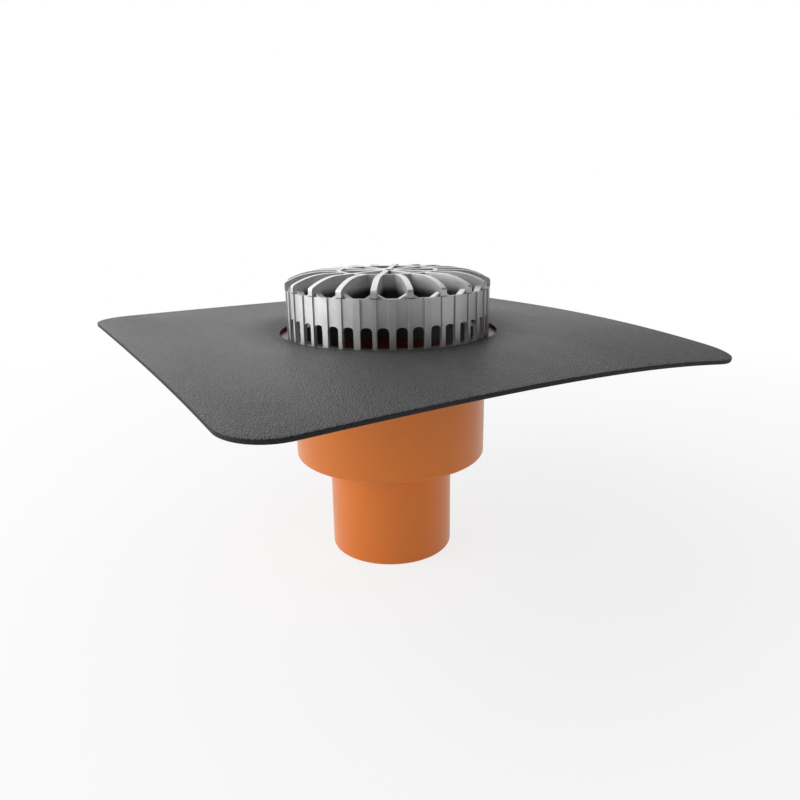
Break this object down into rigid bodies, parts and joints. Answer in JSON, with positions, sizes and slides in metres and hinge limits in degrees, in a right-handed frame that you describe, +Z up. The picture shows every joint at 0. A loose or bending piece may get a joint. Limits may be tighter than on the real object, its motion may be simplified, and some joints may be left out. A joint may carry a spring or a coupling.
{
  "type": "balcony drain",
  "caption": "Balcony drain: a stepped plastic body with a vertical outlet spigot, a bonded rubber membrane collar and a lift-out cast grate on legs.",
  "frame": {"origin": "centre of the outlet spigot's lower end face, where the drain stands on a flat surface", "axes": "+Z up along the drain's axis, out of the grate; X and Y parallel to the sides of the square collar"},
  "size_m": [0.42, 0.42, 0.2518],
  "materials": {
    "cast_aluminium": "rough cast, plain",
    "epdm_rubber": "matt, finely embossed",
    "orange_pvc": "satin gloss"
  },
  "bodies": {
    "root": {"drain_body": "orange_pvc", "membrane_collar": "epdm_rubber", "grate": "cast_aluminium"}
  },
  "joints": []
}
